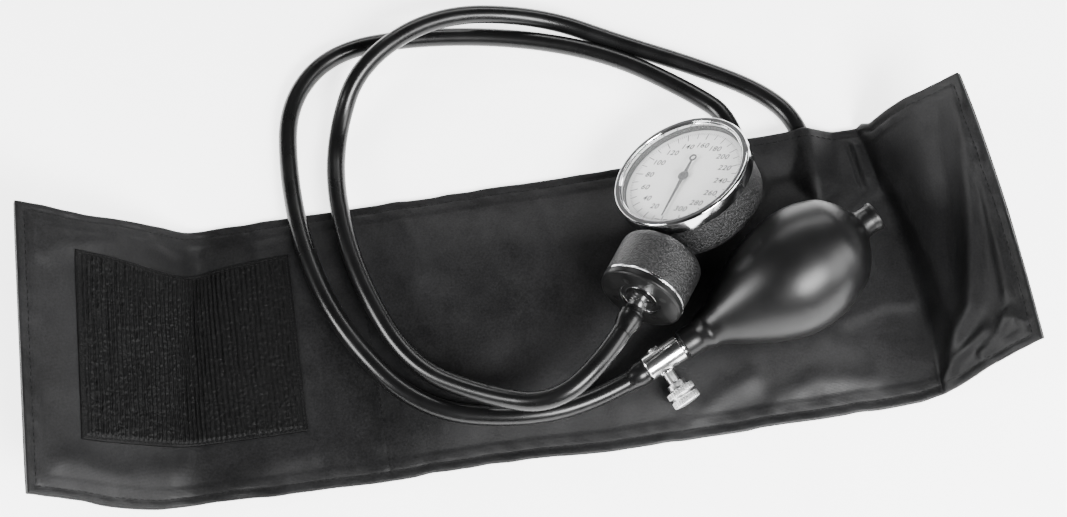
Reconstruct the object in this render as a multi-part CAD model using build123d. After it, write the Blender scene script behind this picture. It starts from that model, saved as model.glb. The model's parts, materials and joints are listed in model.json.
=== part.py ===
from build123d import *
import math
import os

# Aneroid blood pressure monitor lying open: a flat cuff with both ends curled up, a dial gauge
# with a diaphragm drum at six o'clock, a squeeze bulb with a release valve, and two hoses.
# Millimetres, +Z up, origin under the middle of the cuff, +X along the cuff.

# Cuff
cuff_width = 136.0
cuff_tip_x = 220.0
panel_t = 1.1
left_rise_deg = 48.0
left_rise_run = 62.0
left_curl_r = 28.0
right_rise_deg = 65.0
right_lean_deg = 42.0
right_curl_r = 10.0
right_rise_run = 15.0
right_over_r = 60.0
right_tip_run = 20.0
hook_y = (-40.0, 48.0)
hook_right_x = -107.0
hook_rise_run = 36.0
hook_t = 1.4
loop_x = (40.0, 165.0)
loop_width = 110.0
loop_t = 0.7

# Bladder in its pocket, and its two hose ports
bladder_x = (-70.0, 164.0)
bladder_width = 110.0
bladder_z = (1.3, 7.1)
bladder_wall = 1.2
pocket_gap = 5.0
pocket_z = 7.4
port_x = (115.0, 150.0)
port_z = 6.7
port_r = 5.5
port_start_y = 55.0

# Hoses
hose_r = 4.5
hose_bore_r = 2.2
hose_socket_y = 60.0

# Gauge pose: hub point on the dial, dial normal, three o'clock and six o'clock directions
gauge_hub = Vector(80.0, 41.4, 42.5)
dial_normal = Vector(-0.383, 0.412, 0.827).normalized()
six_o_clock = Vector(-0.578, -0.805, 0.133)
six_o_clock = (six_o_clock - dial_normal * six_o_clock.dot(dial_normal)).normalized()
three_o_clock = six_o_clock.cross(dial_normal) * -1

# Dial case: heights are along the dial normal from the dial's face
case_r = 31.3
case_wall = 1.8
case_back = -21.5
case_floor = -19.5
case_rim = 2.0
bezel_r = 33.3
bezel_front = 5.2
bezel_skirt = -1.8
bezel_lip = 0.7
case_fillet = 5.0
ledge_w = 2.2
gasket_t = 0.8
glass_r = 29.6
dial_r = 29.2
dial_t = 0.8

# Movement between its two plates
plate_t = 1.0
front_plate_z = -5.0
rear_plate_z = -17.5
pillar_r = 1.6
foot_r = 2.2
screw_r = 0.8
pivot_r = 0.5
pillar_places = [(8.0, 8.0), (-13.0, 5.0), (5.0, -24.0), (-12.0, -23.0)]
tooth_module = 0.3
pinion_teeth = 12
sector_full_teeth = 120
sector_sweep_deg = 34.0
arm_length = 6.0
gear_z = -9.8
gear_t = 1.0
arm_z = -11.8
arbor_r = 0.8
rod_r = 1.0
pointer_tip = 24.0
pointer_tail = 11.1
pointer_z = 1.1
pointer_t = 0.4

# Diaphragm drum: distances are along six o'clock from the dial's axis
drum_axis_z = -13.0
drum_r = 19.5
drum_top = 34.5
drum_base = 57.0
drum_face = 61.5
drum_wall = 1.8
drum_ring_t = 1.2
base_z = 53.6
cap_screw_r = 0.9
cap_head_r = 1.7
neck_r = 8.0
guide_r = 4.0
capsule_r = 15.8
rod_base = 45.5
cap_recess = 1.2
cap_recess_r = 10.2
cap_screw_pitch = 13.0
nipple_r = 3.4
neck_collar_r = 4.3
neck_end = 66.8
hose_start = 69.0

# Bulb pose and valve: distances are along the bulb's axis from the mouth of its neck
bulb_mouth = Vector(66.8, -32.4, 23.5)
bulb_end = Vector(159.5, 6.3, 47.5)
bulb_length = 103.0
bulb_wall = 2.2
neck_bore_r = 4.4
valve_r = 6.0
valve_left = -19.5
valve_right = -1.0
chamber_r = 3.5
passage_r = 1.5
needle_seat_r = 1.0
needle_r = 1.0
screw_at = -12.5
knob_drop_deg = 10.0
knob_r = 6.7
groove_r = 5.7
shank_r = 2.6
shank_end = 12.0
collar_r = 4.25
collar_end = 15.0
inner_disc_end = 18.1
outer_disc_start = 19.3
outer_disc_end = 22.7
spigot_r = 1.6
spigot_end = 20.0
knurls = 28
ball_r = 1.8
air_r = 1.3
ball_gap = 0.3
intake_r = 3.6
intake_seat = 101.0
outlet_seat = -2.6


bulb_axis = (bulb_end - bulb_mouth).normalized()
level = bulb_axis.cross(Vector(0, 0, 1)).normalized()
knob_axis = level.rotate(Axis((0, 0, 0), tuple(bulb_axis)), knob_drop_deg)

gauge_place = Plane(origin=gauge_hub, x_dir=three_o_clock, z_dir=dial_normal).location
drum_origin = gauge_hub + dial_normal * drum_axis_z
drum_place = Plane(origin=drum_origin, x_dir=three_o_clock, z_dir=six_o_clock).location
bulb_place = Plane(origin=bulb_mouth, x_dir=knob_axis, z_dir=bulb_axis).location
screw_place = Plane(origin=bulb_mouth + bulb_axis * screw_at, x_dir=bulb_axis, z_dir=knob_axis).location

os.makedirs("parts", exist_ok=True)


def save(name, shape, place=None):
    """Write one node, moved to its place in the whole object."""
    export_step(shape if place is None else shape.moved(place), f"parts/{name}.step")


def disc(radius, low, high, x=0.0, y=0.0):
    """Cylinder along local Z between two heights."""
    return Pos(x, y, (low + high) / 2) * Cylinder(radius, high - low)


def ring(outer, inner, low, high, x=0.0, y=0.0):
    """Tube along local Z between two heights."""
    return disc(outer, low, high, x, y) - disc(inner, low - 1, high + 1, x, y)


def slab(x, y, z):
    """Box between low and high values on each axis."""
    size = [high - low for low, high in (x, y, z)]
    middle = [(high + low) / 2 for low, high in (x, y, z)]
    return Pos(*middle) * Box(*size)


# ---------------------------------------------------------------- cuff

def rise(radius, angle):
    """Run and height of an arc that turns from level to an angle."""
    turn = math.radians(angle)
    return radius * math.sin(turn), radius * (1 - math.cos(turn))


left_turn = math.radians(left_rise_deg)
left_arc_x, left_arc_z = rise(left_curl_r, left_rise_deg)
flat_start = -cuff_tip_x + left_arc_x + left_rise_run * math.cos(left_turn)

right_steep = math.radians(right_rise_deg)
right_lean = math.radians(right_lean_deg)
right_arc_x, right_arc_z = rise(right_curl_r, right_rise_deg)
over_x = right_over_r * (math.sin(right_steep) - math.sin(right_lean))
right_span = right_arc_x + right_rise_run * math.cos(right_steep) + over_x
right_span += right_tip_run * math.cos(right_lean)
flat_end = cuff_tip_x - right_span

left_curl = [("line", left_rise_run), ("arc", left_curl_r, left_rise_deg)]
right_curl = [
    ("arc", right_curl_r, right_rise_deg),
    ("line", right_rise_run),
    ("arc", right_over_r, right_lean_deg - right_rise_deg),
    ("line", right_tip_run),
]


def follow(start, heading, steps, offset):
    """Edges of a section line that runs at an offset above the cuff's underside."""
    turn = math.radians(heading)
    point = (start[0] - offset * math.sin(turn), start[1] + offset * math.cos(turn))
    edges = []
    for step in steps:
        tangent = (math.cos(turn), math.sin(turn))
        if step[0] == "line":
            edge = Line(point, (point[0] + step[1] * tangent[0], point[1] + step[1] * tangent[1]))
        else:
            side = math.copysign(1.0, step[2])
            edge = JernArc(start=point, tangent=tangent, radius=step[1] - side * offset, arc_size=step[2])
            turn += math.radians(step[2])
        end = edge @ 1
        point = (end.X, end.Y)
        edges.append(edge)
    return edges


def cloth(start, heading, steps, under, over, y):
    """Strip of cloth between two offsets, extruded across the cuff."""
    lower = follow(start, heading, steps, under)
    upper = follow(start, heading, steps, over)
    ends = [Line(lower[0] @ 0, upper[0] @ 0), Line(lower[-1] @ 1, upper[-1] @ 1)]
    section = make_face(Curve() + lower + upper + ends)
    upright = Plane(origin=(0, y[1], 0), x_dir=(1, 0, 0), z_dir=(0, -1, 0))
    return extrude(upright.location * section, amount=y[1] - y[0])


left_tip = (-cuff_tip_x, left_arc_z + left_rise_run * math.sin(left_turn))
cuff_steps = left_curl + [("line", flat_end - flat_start)] + right_curl
cuff_y = (-cuff_width / 2, cuff_width / 2)

pocket_x = (bladder_x[0] - pocket_gap, bladder_x[1] + pocket_gap)
pocket_mid = Pos((pocket_x[0] + pocket_x[1]) / 2, 0, panel_t)
pocket_size = (pocket_x[1] - pocket_x[0], bladder_width + 2 * pocket_gap)


def blister(grow, top):
    """Raised pad with sloping sides over the bladder."""
    base = RectangleRounded(pocket_size[0] + 2 * grow, pocket_size[1] + 2 * grow, 10 + grow)
    return pocket_mid * extrude(base, amount=top - panel_t, taper=25)


def along_y(radius, x, z, start, end):
    """Cylinder that lies across the cuff."""
    return Pos(x, (start + end) / 2, z) * Rot(90, 0, 0) * Cylinder(radius, end - start)


def make_cuff():
    inner = cloth(left_tip, -left_rise_deg, cuff_steps, 0, panel_t, cuff_y)
    recess = slab(loop_x, (-loop_width / 2, loop_width / 2), (-1, loop_t))
    save("cuff_inner_panel", inner - recess)
    save("loop_patch", slab(loop_x, (-loop_width / 2, loop_width / 2), (0, loop_t)))

    outer = cloth(left_tip, -left_rise_deg, cuff_steps, panel_t, 2 * panel_t, cuff_y)
    outer += blister(panel_t, pocket_z + panel_t)
    above = slab((-cuff_tip_x, cuff_tip_x), (0, cuff_y[1]), (panel_t, 40))
    for x in port_x:
        outer += along_y(port_r + 1.4, x, port_z, port_start_y - 3, cuff_y[1]) & above
    outer -= blister(0, pocket_z)
    for x in port_x:
        outer -= along_y(port_r + 0.3, x, port_z, port_start_y - 3, cuff_y[1] + 1)
    save("cuff_outer_panel", outer)

    patch_start = (flat_start - left_arc_x - hook_rise_run * math.cos(left_turn),
                   left_arc_z + hook_rise_run * math.sin(left_turn))
    patch_steps = [("line", hook_rise_run), left_curl[1], ("line", hook_right_x - flat_start)]
    save("hook_patch", cloth(patch_start, -left_rise_deg, patch_steps, 2 * panel_t,
                             2 * panel_t + hook_t, hook_y))


def make_bladder():
    half = bladder_width / 2
    body = slab(bladder_x, (-half, half), bladder_z)
    body = fillet(body.edges().filter_by(Axis.Z), 12)
    inside = [bladder_x[0] + 6, bladder_x[1] - 6]
    air = slab(inside, (-half + 6, half - 6), (bladder_z[0] + bladder_wall, bladder_z[1] - bladder_wall))
    for x in port_x:
        body += along_y(port_r, x, port_z, port_start_y, cuff_y[1])
    body -= air
    for x in port_x:
        body -= along_y(hose_r, x, port_z, hose_socket_y, cuff_y[1] + 1)
        body -= along_y(hose_bore_r, x, bladder_z[1] - bladder_wall - hose_bore_r,
                        half - 8, hose_socket_y + 1)
    save("bladder", body)


# ---------------------------------------------------------------- gauge

def make_case():
    body = disc(case_r, case_back, case_rim)
    body = fillet(body.edges().group_by(Axis.Z)[0], case_fillet)
    body -= disc(case_r - case_wall, case_floor, case_rim + 1)
    body += ring(case_r - case_wall, dial_r - ledge_w, -dial_t - 2, -dial_t)
    body -= Rot(90, 0, 0) * disc(guide_r, 26, 36, 0, drum_axis_z)
    for x, y in pillar_places:
        body += disc(foot_r, case_floor, rear_plate_z, x, y)
        body -= disc(screw_r, case_floor + 0.4, rear_plate_z + 1, x, y)
    return body


def make_bezel():
    shell = disc(bezel_r, bezel_skirt, bezel_front)
    shell = fillet(shell.edges().group_by(Axis.Z)[-1], 1.6)
    shell -= disc(case_r, bezel_skirt - 1, bezel_front - bezel_lip)
    shell -= disc(glass_r, 0, bezel_front + 1)
    return shell


def involute_point(base_r, radius):
    """Angle that an involute has turned through at a radius."""
    pressure = math.acos(min(1.0, base_r / radius))
    return math.tan(pressure) - pressure


def tooth(teeth, top, root, slack):
    """One gear tooth about the X axis, with its root inside the rim."""
    pitch_r = tooth_module * teeth / 2
    base_r = pitch_r * math.cos(math.radians(20))
    half = math.pi / (2 * teeth) - slack / (2 * pitch_r) + involute_point(base_r, pitch_r)
    start = max(base_r, root)
    right = []
    for step in range(4):
        radius = start + (top - start) * step / 3
        angle = half - involute_point(base_r, radius)
        right.append((radius * math.cos(angle), -radius * math.sin(angle)))
    foot = (root * 0.97 * math.cos(half), -root * 0.97 * math.sin(half))
    lower = [foot] + right
    upper = [(x, -y) for x, y in reversed(lower)]
    return make_face(Polyline(*lower, *upper, close=True))


pinion_r = tooth_module * pinion_teeth / 2
sector_r = tooth_module * sector_full_teeth / 2
rest_arm_deg = -sector_sweep_deg / 2
sector_x = -arm_length * math.cos(math.radians(rest_arm_deg))
sector_y = -math.sqrt((pinion_r + sector_r) ** 2 - sector_x ** 2)
mesh_deg = math.degrees(math.atan2(-sector_y, -sector_x))
tooth_deg = 360 / sector_full_teeth
arm_tip_y = sector_y + arm_length * math.sin(math.radians(rest_arm_deg))
rod_top = -arm_tip_y + 0.85


def make_movement():
    outline = [(x * 1.09, y * 1.09) for x, y in (pillar_places[i] for i in (0, 1, 3, 2))]
    plate = extrude(make_face(Polyline(*outline, close=True)), amount=plate_t)
    plate = fillet(plate.edges().filter_by(Axis.Z), 1.5)
    for x, y in pillar_places:
        plate += disc(foot_r, 0, plate_t, x, y)
    plate -= disc(pivot_r + 0.05, -1, plate_t + 1)
    plate -= disc(arbor_r + 0.05, -1, plate_t + 1, sector_x, sector_y)
    for x, y in pillar_places:
        plate -= disc(screw_r, -1, plate_t + 1, x, y)
    save("movement_front_plate", Pos(0, 0, front_plate_z) * plate, gauge_place)
    save("movement_rear_plate", Pos(0, 0, rear_plate_z) * plate, gauge_place)
    pillars = []
    screws = []
    for x, y in pillar_places:
        pillars.append(ring(pillar_r, screw_r, rear_plate_z + plate_t, front_plate_z, x, y))
        head = disc(pillar_r - 0.1, front_plate_z + plate_t, front_plate_z + plate_t + 0.8, x, y)
        screws.append(head + disc(screw_r, case_floor + 0.4, front_plate_z + plate_t, x, y))
    save("movement_pillars", Compound(children=pillars), gauge_place)
    save("movement_screws", Compound(children=screws), gauge_place)


def make_sector():
    rim_low = mesh_deg - sector_sweep_deg - 4.5
    rim_high = mesh_deg + 4.5
    root = sector_r - 1.25 * tooth_module
    rim = CenterArc((0, 0), root, rim_low, rim_high - rim_low)
    wedge = make_face(Curve() + [rim, Line((0, 0), rim @ 0), Line((0, 0), rim @ 1)])
    middle = math.radians((rim_low + rim_high) / 2)
    window = Pos(11 * math.cos(middle), 11 * math.sin(middle)) * Circle(2.6)
    body = extrude(wedge - window, amount=gear_t)
    one = extrude(tooth(sector_full_teeth, sector_r + 0.7 * tooth_module, root, 0.06), amount=gear_t)
    count = int((sector_sweep_deg + 6) / tooth_deg)
    for number in range(-1, count):
        body += Rot(0, 0, mesh_deg - number * tooth_deg) * one
    body += disc(foot_r, 0, gear_t + 0.6)
    body -= disc(arbor_r, -1, gear_t + 2)
    save("sector_gear", Pos(sector_x, sector_y, gear_z) * body, gauge_place)
    save("sector_arbor", disc(arbor_r, rear_plate_z + 0.1, front_plate_z + plate_t, sector_x, sector_y),
         gauge_place)

    arm = Pos(arm_length / 2, 0) * Rectangle(arm_length, 1.8)
    arm += Circle(foot_r) + Pos(arm_length, 0) * Circle(1.1)
    lever = extrude(arm, amount=1.0) - disc(arbor_r, -1, 2)
    lever += disc(arbor_r, -2.4, 0.5, arm_length, 0)
    lever = Pos(sector_x, sector_y, arm_z) * Rot(0, 0, rest_arm_deg) * lever
    save("rocker_arm", lever, gauge_place)


def make_pointer():
    root = pinion_r - 1.25 * tooth_module
    gear = disc(root, 0, gear_t + 0.4)
    one = extrude(tooth(pinion_teeth, pinion_r + tooth_module, root, 0.06), amount=gear_t + 0.4)
    half_tooth = 180 / pinion_teeth
    for number in range(pinion_teeth):
        gear += Rot(0, 0, mesh_deg + 180 + half_tooth + number * 2 * half_tooth) * one
    arbor = disc(pivot_r, rear_plate_z + 0.1, 2.0)
    save("pinion_arbor", Pos(0, 0, gear_z - 0.2) * gear + arbor, gauge_place)
    save("pointer_hub", ring(1.3, pivot_r, 0.5, 2.0), gauge_place)

    tail = pointer_tail - 1.3
    needle = Polyline((-0.9, 0), (-0.25, -pointer_tip), (0.25, -pointer_tip), (0.9, 0), (0.45, tail),
                      (-0.45, tail), close=True)
    blade = make_face(needle) + Circle(2.6)
    blade += Pos(0, pointer_tail) * (Circle(1.9) - Circle(1.1))
    blade -= Circle(1.3)
    save("pointer", Pos(0, 0, pointer_z) * extrude(blade, amount=pointer_t), gauge_place)


def make_hairspring():
    """Flat coil of half rings, each a little larger than the last, and the pieces at its two ends."""
    growth = 0.3
    inner_r = 1.4
    wire = 0.18
    halves = 7
    coil = []
    for number in range(halves):
        radius = inner_r + growth * number
        side = 10 if number % 2 == 0 else -10
        band = Circle(radius + wire / 2) - Circle(radius - wire / 2)
        half = band & (Pos(0, side) * Rectangle(40, 20))
        coil.append(Pos(growth * (number % 2), 0) * half)
    flat = coil[0]
    for half in coil[1:]:
        flat += half
    end_x = inner_r + growth * (halves - 1) + wire / 2
    save("hairspring", Pos(0, 0, -6.6) * extrude(flat, amount=0.6), gauge_place)
    save("hairspring_collet", ring(inner_r - 0.15, pivot_r, -6.7, -5.9), gauge_place)
    save("hairspring_stud", slab((-end_x - 1.0, -end_x), (-0.5, 0.5), (-6.8, front_plate_z)), gauge_place)


def make_gauge():
    save("dial_housing", make_case(), gauge_place)
    save("bezel", make_bezel(), gauge_place)
    lens_low = case_rim + gasket_t
    save("lens", disc(case_r - 0.05, lens_low, bezel_front - bezel_lip), gauge_place)
    save("lens_gasket", ring(case_r - 0.05, glass_r - 0.3, case_rim, lens_low), gauge_place)
    save("dial_plate", ring(dial_r, 3 * pivot_r, -dial_t, 0), gauge_place)
    make_movement()
    make_sector()
    make_pointer()
    make_hairspring()


# ---------------------------------------------------------------- drum under the dial

def turned(points):
    """Solid turned about local Z from (radius, height) points."""
    face = Plane.XZ * make_face(Polyline(*points, close=True))
    return revolve(face, axis=Axis.Z)


def capsule(low):
    """One corrugated capsule of the stack."""
    rim = low + 1.5
    under = [(0, low), (4, low), (7, low + 0.5), (10, low + 0.1), (13, low + 0.6), (capsule_r, rim - 0.3)]
    over = [(radius, 2 * rim - height) for radius, height in reversed(under)]
    return turned(under + over)


def make_drum():
    cavity_r = drum_r - drum_wall
    drum = disc(drum_r, drum_top, drum_base)
    drum = fillet(drum.edges().group_by(Axis.Z)[0], 6)
    drum += disc(neck_r, 28, drum_top + 2)
    drum -= disc(cavity_r, 43, drum_base + 1)
    drum -= disc(guide_r, 20, 44)
    whole_case = disc(case_r, case_back, case_rim)
    whole_case = fillet(whole_case.edges().group_by(Axis.Z)[0], case_fillet)
    save("drum_housing", drum.moved(drum_place) - whole_case.moved(gauge_place))
    save("rod_guide", ring(guide_r, rod_r + 0.05, 29.0, 41.5), drum_place)
    save("push_rod", disc(rod_r, rod_top, rod_base), drum_place)

    stack = capsule(47.2) + capsule(50.2) + disc(2.5, rod_base + 0.1, 48) + disc(5, 52, base_z)
    save("capsule_stack", stack, drum_place)
    base = ring(capsule_r + 0.6, nipple_r, base_z, base_z + drum_ring_t)
    cap = disc(cavity_r, base_z + drum_ring_t, drum_base + drum_ring_t)
    cap += disc(drum_r, drum_base + drum_ring_t, drum_face)
    cap = fillet(cap.edges().group_by(Axis.Z)[-1], 1.2)
    flat = drum_face - cap_recess
    cap -= disc(cap_recess_r, flat, drum_face + 1)
    cap -= disc(nipple_r, 50, 65)
    screws = []
    for number in range(4):
        turn = math.radians(5 + 90 * number)
        x, y = cap_screw_pitch * math.cos(turn), cap_screw_pitch * math.sin(turn)
        base -= disc(cap_screw_r, 50, 60, x, y)
        cap -= disc(cap_screw_r, 50, 65, x, y)
        cap -= disc(cap_head_r, drum_face - 1.0, 65, x, y)
        head = disc(cap_head_r, drum_face - 1.0, drum_face - 0.1, x, y)
        screws.append(head + disc(cap_screw_r, base_z + 0.2, drum_face - 1.0, x, y))
    save("capsule_base", base, drum_place)
    save("drum_cap", cap, drum_place)
    save("cap_screws", Compound(children=screws), drum_place)
    save("drum_ring", ring(drum_r + 0.3, cavity_r, drum_base, drum_base + drum_ring_t), drum_place)

    save("nipple_washer", ring(6.5, nipple_r, flat, flat + 0.8), drum_place)
    nut = ring(6.2, nipple_r, flat + 0.8, flat + 2.0)
    for turn in (0, 90):
        nut -= Rot(0, 0, turn) * slab((-8, 8), (-0.6, 0.6), (flat + 1.3, flat + 3))
    save("nipple_nut", nut, drum_place)
    nipple = disc(nipple_r, base_z, hose_start) + disc(neck_collar_r, flat + 2.0, neck_end)
    nipple += disc(hose_bore_r, hose_start - 1, hose_start + 10)
    nipple = nipple - disc(1.2, 50, 80)
    save("hose_nipple", nipple, drum_place)
    save("nipple_collar", ring(neck_collar_r - 0.2, nipple_r, neck_end, hose_start), drum_place)


# ---------------------------------------------------------------- bulb and release valve

def seated_ball(seat):
    """Ball that closes an air hole, just clear of the hole's edge."""
    return Pos(0, 0, seat - math.sqrt(ball_r ** 2 - air_r ** 2) - 0.05) * Sphere(ball_r)


def make_bulb():
    skin = [(6.4, 0), (7.2, 8), (9.0, 15), (17.5, 30), (25.6, 47), (28.0, 63), (24.2, 82), (13.0, 94),
            (5.3, 98.5)]
    cavity = [(neck_bore_r, 9.5), (6.4, 14), (15.4, 30), (23.4, 47), (25.8, 63), (22.0, 81), (11.5, 92),
              (3.6, 95.0)]
    outer = Spline(*skin)
    top = Polyline(skin[-1], (5.3, bulb_length), (0, bulb_length), (0, 0), skin[0])
    solid = revolve(Plane.XZ * make_face(Curve() + [outer, top]), axis=Axis.Z)
    inner = Spline(*cavity)
    close = Polyline(cavity[-1], (0, 95.0), (0, 9.5), cavity[0])
    solid -= revolve(Plane.XZ * make_face(Curve() + [inner, close]), axis=Axis.Z)
    solid -= disc(neck_bore_r, -1, 10)
    solid -= disc(intake_r, 94, bulb_length + 1)
    save("bulb_shell", solid, bulb_place)

    body = disc(intake_r, 95.4, bulb_length + 0.4)
    body -= disc(ball_r + ball_gap, 95, intake_seat)
    body -= disc(air_r, 95, bulb_length + 1)
    save("intake_valve_body", body, bulb_place)
    save("intake_retainer", ring(ball_r + ball_gap, air_r - 0.1, 95.5, 96.3), bulb_place)
    save("intake_ball", seated_ball(intake_seat), bulb_place)


def knurled(radius, low, high):
    """Disc with grooves round its edge."""
    body = disc(radius, low, high)
    for number in range(knurls):
        turn = 2 * math.pi * number / knurls
        body -= disc(0.32, low - 1, high + 1, radius * math.cos(turn), radius * math.sin(turn))
    return body


def make_valve():
    cross = Pos(0, 0, screw_at) * Rot(0, 90, 0)
    body = disc(valve_r, valve_left, valve_right)
    body = chamfer(body.edges().filter_by(GeomType.CIRCLE), 0.4)
    body += disc(hose_bore_r, valve_left - 10, valve_left + 1)
    body -= disc(chamber_r, -6.5, 0)
    body -= disc(passage_r, valve_left - 11, -6)
    body -= cross * disc(needle_seat_r, 0, 3.5)
    body -= cross * disc(shank_r + 0.05, 2.9, 8)
    body -= Pos(4.0, 3.6, screw_at) * Rot(90, 0, 0) * Cylinder(0.6, 4)
    save("valve_body", body, bulb_place)

    plug = disc(chamber_r, outlet_seat, valve_right) + disc(valve_r - 0.3, valve_right, 0)
    plug += disc(neck_bore_r, 0, 9)
    save("bulb_connector", plug - disc(air_r, -4, 10), bulb_place)
    save("ball_cage", ring(chamber_r, ball_r + ball_gap, -6.5, outlet_seat), bulb_place)
    save("outlet_ball", seated_ball(outlet_seat), bulb_place)

    needle = disc(needle_seat_r - 0.08, 1.3, 3.0) + disc(2.0, 2.95, 3.4) + disc(needle_r, 3.4, 7.0)
    save("needle_tip", needle, screw_place)
    screw = disc(shank_r, 3.45, shank_end) + disc(collar_r, shank_end, collar_end)
    screw += disc(spigot_r, collar_end, spigot_end)
    screw -= disc(needle_r + 0.05, 3, 7.5)
    save("release_screw", screw, screw_place)
    knob = knurled(knob_r, collar_end, inner_disc_end) + disc(groove_r, inner_disc_end, outer_disc_start)
    knob += knurled(knob_r - 0.1, outer_disc_start, outer_disc_end)
    knob += Pos(0, 0, outer_disc_end) * scale(Sphere(knob_r - 0.8), (1, 1, 0.13))
    save("release_knob", knob - disc(spigot_r, shank_end, spigot_end), screw_place)


# ---------------------------------------------------------------- hoses

gauge_hose_out = drum_origin + six_o_clock * hose_start
gauge_hose_run = [
    tuple(gauge_hose_out), tuple(gauge_hose_out + six_o_clock * 22), (4, -56, 38), (-26, -42, 24),
    (-57, -20, 14.5), (-76, 25, 14), (-83, 70, 11), (-79, 108, 5), (-62, 136, 22.7), (-22, 158, 22.7),
    (28, 157, 8), (70, 137, 4.7), (104, 122, 4.7), (137, 101, 4.7), (port_x[1], 78, port_z),
    (port_x[1], hose_socket_y, port_z),
]
bulb_hose_out = bulb_mouth + bulb_axis * valve_left
bulb_hose_run = [
    tuple(bulb_hose_out), tuple(bulb_hose_out - bulb_axis * 20), (-5, -53, 13.8), (-55, -42, 13.8),
    (-86, 2, 12.5), (-101, 45, 9.5), (-105, 90, 5), (-100, 130, 4.7), (-75, 154, 4.7), (-30, 155, 4.7),
    (18, 145, 4.7), (62, 128, 4.7), (98, 104, 4.7), (port_x[0], 84, port_z),
    (port_x[0], hose_socket_y, port_z),
]


def make_hose(name, points):
    """Hose along straight runs joined by arcs, each as large as its two runs allow."""
    corners = [Vector(*point) for point in points]
    radii = []
    for before, corner, after in zip(corners, corners[1:], corners[2:]):
        shorter = min((corner - before).length, (after - corner).length)
        turn = math.radians((corner - before).get_angle(after - corner))
        radii.append(0.45 * shorter / math.tan(turn / 2))
    path = FilletPolyline(*corners, radius=radii)
    wall = Circle(hose_r) - Circle(hose_bore_r)
    start = Plane(origin=corners[0], z_dir=corners[1] - corners[0])
    hose = sweep(start * wall, path=path)
    section = math.pi * (hose_r ** 2 - hose_bore_r ** 2)
    print(name, "radii", [round(radius) for radius in radii], "length", round(path.length, 1),
          "volume ratio", round(hose.volume / (section * path.length), 4))
    save(name, hose)


def main():
    make_cuff()
    make_bladder()
    make_gauge()
    make_drum()
    make_bulb()
    make_valve()
    make_hose("gauge_hose", gauge_hose_run)
    make_hose("bulb_hose", bulb_hose_run)


main()
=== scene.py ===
import json
import math
import bpy
import numpy as np
from mathutils import Matrix, Vector


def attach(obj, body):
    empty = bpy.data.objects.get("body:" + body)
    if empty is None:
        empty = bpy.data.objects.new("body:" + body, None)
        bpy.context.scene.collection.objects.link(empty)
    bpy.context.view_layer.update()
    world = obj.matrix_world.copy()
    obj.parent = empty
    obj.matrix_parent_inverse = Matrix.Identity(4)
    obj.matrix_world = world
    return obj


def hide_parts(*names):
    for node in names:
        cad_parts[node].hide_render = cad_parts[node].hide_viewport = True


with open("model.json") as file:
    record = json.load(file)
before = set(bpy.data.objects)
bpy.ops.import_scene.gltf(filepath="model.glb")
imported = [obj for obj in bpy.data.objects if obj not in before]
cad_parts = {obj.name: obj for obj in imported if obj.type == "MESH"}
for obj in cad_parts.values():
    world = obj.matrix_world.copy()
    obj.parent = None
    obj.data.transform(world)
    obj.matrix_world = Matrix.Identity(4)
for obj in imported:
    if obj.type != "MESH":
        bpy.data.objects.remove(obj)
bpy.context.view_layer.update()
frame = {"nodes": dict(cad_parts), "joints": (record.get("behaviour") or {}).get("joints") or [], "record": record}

MM = 0.001
ROOT = "cuff_and_housings"
joints = {joint["name"]: joint for joint in frame["joints"]}
add_to_scene = bpy.context.scene.collection.objects.link


# ---------- places read from the frame

def axis_of(name):
    return Vector(joints[name]["axis"]).normalized()


def plane_matrix(origin, x_axis, z_axis):
    """Local frame with the given X and Z directions."""
    y_axis = z_axis.cross(x_axis)
    matrix = Matrix((x_axis, y_axis, z_axis)).transposed().to_4x4()
    matrix.translation = origin
    return matrix


hub = Vector(joints["pointer_turn"]["pos_m"])
dial_normal = axis_of("pointer_turn")
twelve = axis_of("push_rod_slide")
three = twelve.cross(dial_normal)
six = -twelve
gauge_frame = plane_matrix(hub, three, dial_normal)
drum_setback = 13
drum_centre = hub - dial_normal * drum_setback * MM
drum_frame = plane_matrix(drum_centre, three, six)
bulb_axis = -axis_of("outlet_ball_lift")
knob_axis = axis_of("release_turn")
screw_centre = Vector(joints["release_turn"]["pos_m"])
screw_to_mouth = 12.5
bulb_mouth = screw_centre + bulb_axis * screw_to_mouth * MM
bulb_frame = plane_matrix(bulb_mouth, knob_axis, bulb_axis)
screw_frame = plane_matrix(screw_centre, bulb_axis, knob_axis)


# ---------- camera, light and floor

def make_camera():
    """Looks down at the cuff from the front, turned a little so that it rises to the right."""
    elevation = math.radians(68)
    azimuth = math.radians(9)
    distance = 0.85
    target = Vector((0.008, 0.0295, 0))
    forward = Vector((math.sin(azimuth) * math.cos(elevation), math.cos(azimuth) * math.cos(elevation),
                      -math.sin(elevation)))
    right = Vector((math.cos(azimuth), -math.sin(azimuth), 0))
    data = bpy.data.cameras.new("camera")
    data.sensor_width = 36
    data.lens = 60.2
    camera = bpy.data.objects.new("camera", data)
    camera.matrix_world = plane_matrix(target - forward * distance, right, -forward)
    add_to_scene(camera)
    bpy.context.scene.camera = camera


def area_light(name, place, aim, size, power):
    data = bpy.data.lights.new(name, "AREA")
    data.shape = "RECTANGLE"
    data.size = size[0]
    data.size_y = size[1]
    data.energy = power
    light = bpy.data.objects.new(name, data)
    light.location = place
    light.rotation_euler = (Vector(aim) - Vector(place)).to_track_quat("-Z", "Y").to_euler()
    add_to_scene(light)


def set_ramp(node, *stops):
    for element, (position, colour) in zip(node.color_ramp.elements, stops):
        element.position = position
        element.color = (*colour, 1)


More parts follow.
